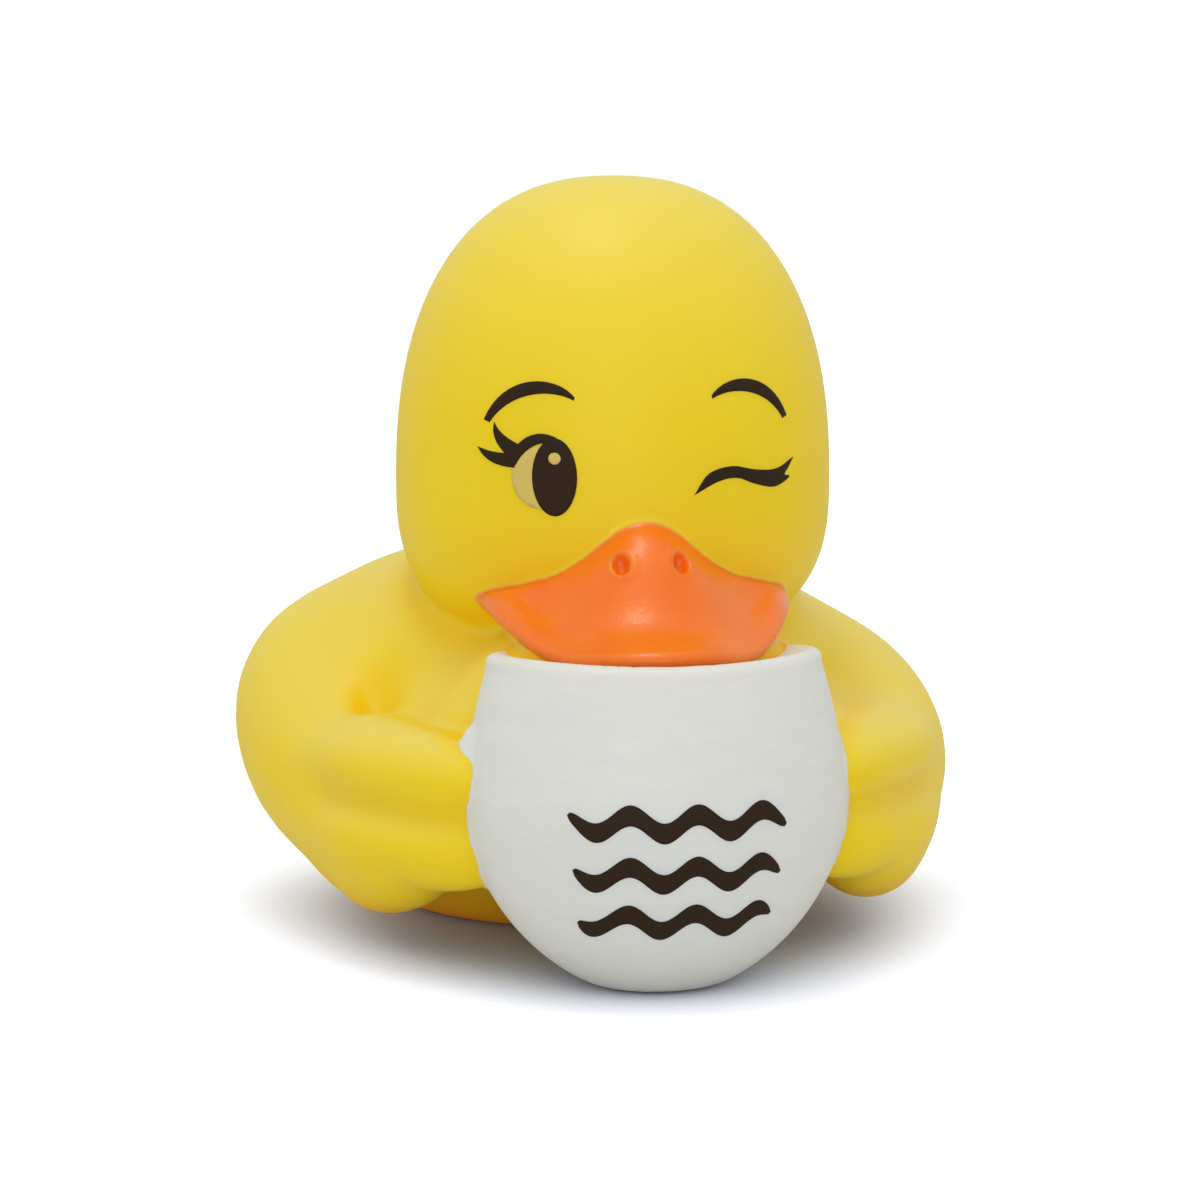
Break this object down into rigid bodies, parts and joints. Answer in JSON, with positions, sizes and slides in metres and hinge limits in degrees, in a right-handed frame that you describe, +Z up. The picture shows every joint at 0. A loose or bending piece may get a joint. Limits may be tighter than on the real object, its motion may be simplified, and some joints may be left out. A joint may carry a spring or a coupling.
{
  "type": "rubber duck with a mug",
  "caption": "Soft vinyl bath duck holding a round mug to its chest, standing on a flat base",
  "frame": {"origin": "middle of the footprint, on the surface the duck stands on", "axes": "+Z up, the duck looks along -Y, +X is the duck's left hand side"},
  "size_m": [0.0876, 0.1016, 0.09],
  "materials": {
    "vinyl": "satin soft vinyl with sprayed and pad-printed areas"
  },
  "bodies": {
    "root": {"duck_moulding": "vinyl"}
  },
  "joints": []
}
